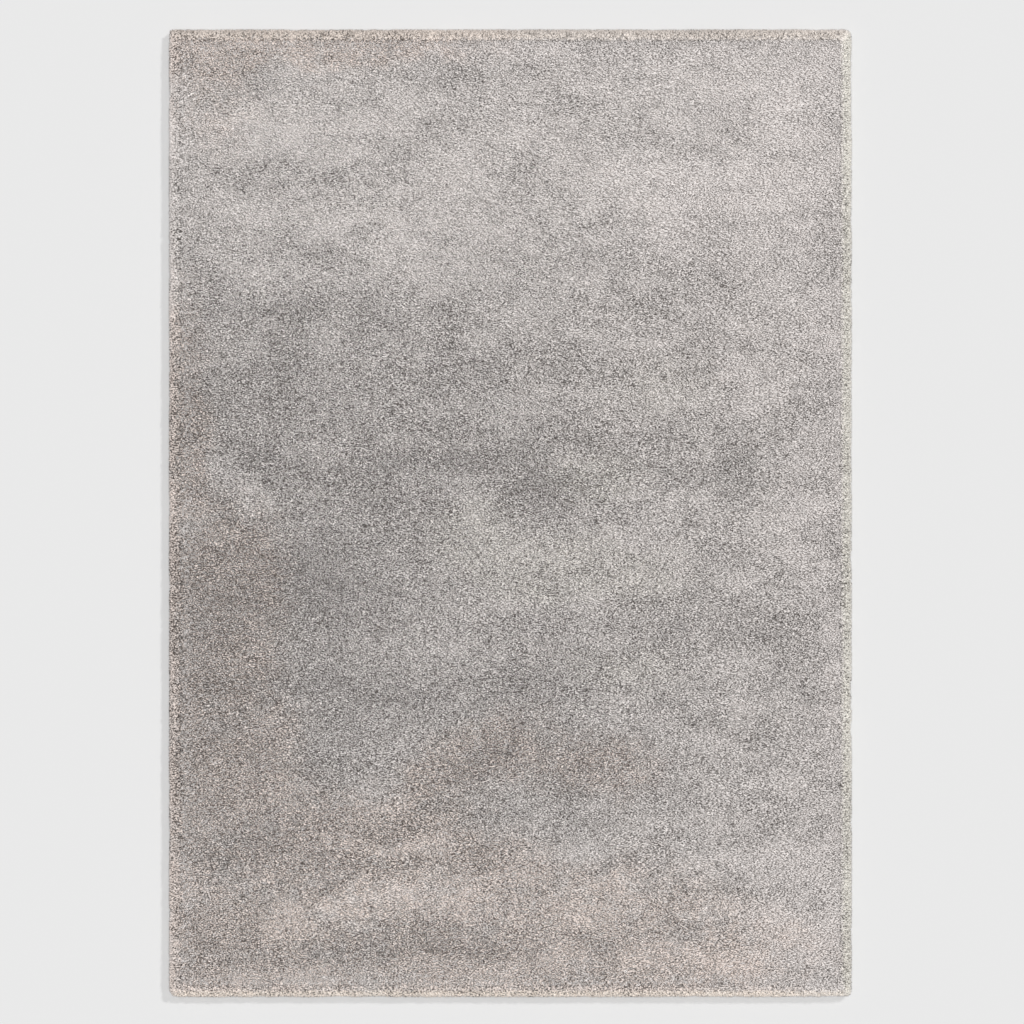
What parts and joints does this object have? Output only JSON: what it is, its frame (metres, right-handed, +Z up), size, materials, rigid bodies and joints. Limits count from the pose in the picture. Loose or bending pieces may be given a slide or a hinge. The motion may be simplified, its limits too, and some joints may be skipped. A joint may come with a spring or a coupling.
{
  "type": "shag rug",
  "caption": "Plain warm grey shag rug with a dense, uneven cut pile, lying flat.",
  "frame": {"origin": "on the floor, under the middle of the rug", "axes": "+Z up out of the pile, +Y along the rug's length, +X across it, the way the pile lies"},
  "size_m": [1.1992, 1.6989, 0.025],
  "materials": {
    "pile": "matte"
  },
  "bodies": {
    "root": {"shag_rug": "pile"}
  },
  "joints": []
}
